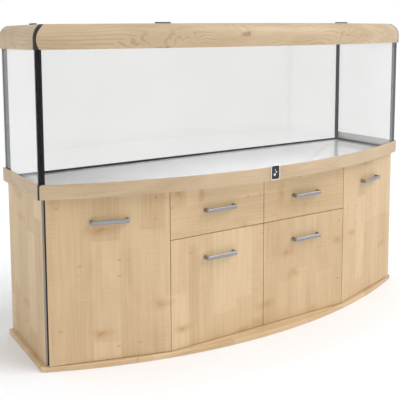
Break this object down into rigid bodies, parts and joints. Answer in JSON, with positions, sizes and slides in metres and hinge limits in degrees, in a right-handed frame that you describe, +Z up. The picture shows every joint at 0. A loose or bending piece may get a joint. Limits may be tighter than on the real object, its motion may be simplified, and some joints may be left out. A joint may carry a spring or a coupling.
{
  "type": "bow-front aquarium on cabinet",
  "caption": "Bow-front glass aquarium on a light maple cabinet with hinged doors, drawers and a lift-off lighting hood with feeding flaps.",
  "frame": {"origin": "middle of the footprint box, on the floor", "axes": "+X to the right seen from the front, +Y to the back, +Z up; the bowed front looks along -Y"},
  "size_m": [2, 0.64, 1.3824],
  "materials": {
    "plinth_maple": "satin light maple, grain along X",
    "side_maple": "satin light maple, grain upright",
    "carcass_maple": "satin light maple board inside",
    "door_maple": "satin light maple staves, grain upright",
    "drawer_maple": "satin light maple, grain along X",
    "trim_maple": "wood-effect foil, grain along X",
    "hood_maple": "wood-effect foil, grain along X",
    "drawer_board": "plain pale birch",
    "satin_nickel": "satin nickel",
    "hinge_steel": "bright zinc",
    "runner_steel": "zinc plated",
    "seal_rubber": "matt black",
    "foam_grey": "pale closed-cell foam, matt",
    "tank_glass": "clear float glass, polished edges",
    "silicone_black": "black silicone, semi-gloss",
    "corner_plastic": "black, gloss",
    "black_plastic": "black, fine grain",
    "deck_plastic": "black, fine grain",
    "light_white": "frosted white tube"
  },
  "bodies": {
    "stand": {"plinth_board": "plinth_maple", "side_panel_left": "side_maple", "side_panel_right": "side_maple", "back_panel": "carcass_maple", "top_board": "carcass_maple", "divider_left": "carcass_maple", "divider_centre": "carcass_maple", "divider_right": "carcass_maple", "drawer_shelves": "carcass_maple", "edge_seals": "seal_rubber", "hinge_arms": "hinge_steel", "runner_rails": "runner_steel", "foam_mat": "foam_grey", "bottom_glass": "tank_glass", "front_glass": "tank_glass", "back_glass": "tank_glass", "side_glass": "tank_glass", "corner_silicone": "silicone_black", "bottom_silicone": "silicone_black", "cross_braces": "tank_glass", "trim_front": "trim_maple", "trim_sides": "trim_maple", "trim_corners": "corner_plastic", "badge": "corner_plastic"},
    "hood": {"hood_front": "hood_maple", "hood_sides": "hood_maple", "hood_back": "hood_maple", "hood_corners": "corner_plastic", "hood_deck": "deck_plastic", "hood_ledges": "black_plastic", "hood_hinges": "black_plastic", "light_tubes": "light_white", "light_caps": "black_plastic", "cable_plugs": "black_plastic"},
    "flap_left": {"flap_left": "deck_plastic", "flap_left_fittings": "black_plastic"},
    "flap_right": {"flap_right": "deck_plastic", "flap_right_fittings": "black_plastic"},
    "door_left": {"door_left": "door_maple", "door_left_handle": "satin_nickel", "door_left_cups": "hinge_steel"},
    "door_centre_left": {"door_centre_left": "door_maple", "door_centre_left_handle": "satin_nickel", "door_centre_left_cups": "hinge_steel"},
    "door_centre_right": {"door_centre_right": "door_maple", "door_centre_right_handle": "satin_nickel", "door_centre_right_cups": "hinge_steel"},
    "door_right": {"door_right": "door_maple", "door_right_handle": "satin_nickel", "door_right_cups": "hinge_steel"},
    "drawer_left": {"drawer_left_front": "drawer_maple", "drawer_left_handle": "satin_nickel", "drawer_left_boards": "drawer_board", "drawer_left_slides": "runner_steel"},
    "drawer_right": {"drawer_right_front": "drawer_maple", "drawer_right_handle": "satin_nickel", "drawer_right_boards": "drawer_board", "drawer_right_slides": "runner_steel"}
  },
  "joints": [
    {"name": "hood_lift", "type": "slide", "parent": "stand", "child": "hood", "axis": [0, 0, 1], "range_m": [0, 0.4]},
    {"name": "flap_left_hinge", "type": "hinge", "parent": "hood", "child": "flap_left", "pos_m": [-0.4, 0.2, 1.3794], "axis": [-1, 0, 0], "range_deg": [0, 95]},
    {"name": "flap_right_hinge", "type": "hinge", "parent": "hood", "child": "flap_right", "pos_m": [0.4, 0.2, 1.3794], "axis": [-1, 0, 0], "range_deg": [0, 95]},
    {"name": "door_left_hinge", "type": "hinge", "parent": "stand", "child": "door_left", "pos_m": [-0.97, -0.10818, 0.36], "axis": [0, 0, -1], "range_deg": [0, 110]},
    {"name": "door_centre_left_hinge", "type": "hinge", "parent": "stand", "child": "door_centre_left", "pos_m": [-0.4845, -0.24388, 0.257], "axis": [0, 0, -1], "range_deg": [0, 110]},
    {"name": "door_centre_right_hinge", "type": "hinge", "parent": "stand", "child": "door_centre_right", "pos_m": [0.4845, -0.24388, 0.257], "axis": [0, 0, 1], "range_deg": [0, 110]},
    {"name": "door_right_hinge", "type": "hinge", "parent": "stand", "child": "door_right", "pos_m": [0.97, -0.10818, 0.36], "axis": [0, 0, 1], "range_deg": [0, 110]},
    {"name": "drawer_left_slide", "type": "slide", "parent": "stand", "child": "drawer_left", "axis": [0, -1, 0], "range_m": [0, 0.33]},
    {"name": "drawer_right_slide", "type": "slide", "parent": "stand", "child": "drawer_right", "axis": [0, -1, 0], "range_m": [0, 0.33]}
  ]
}
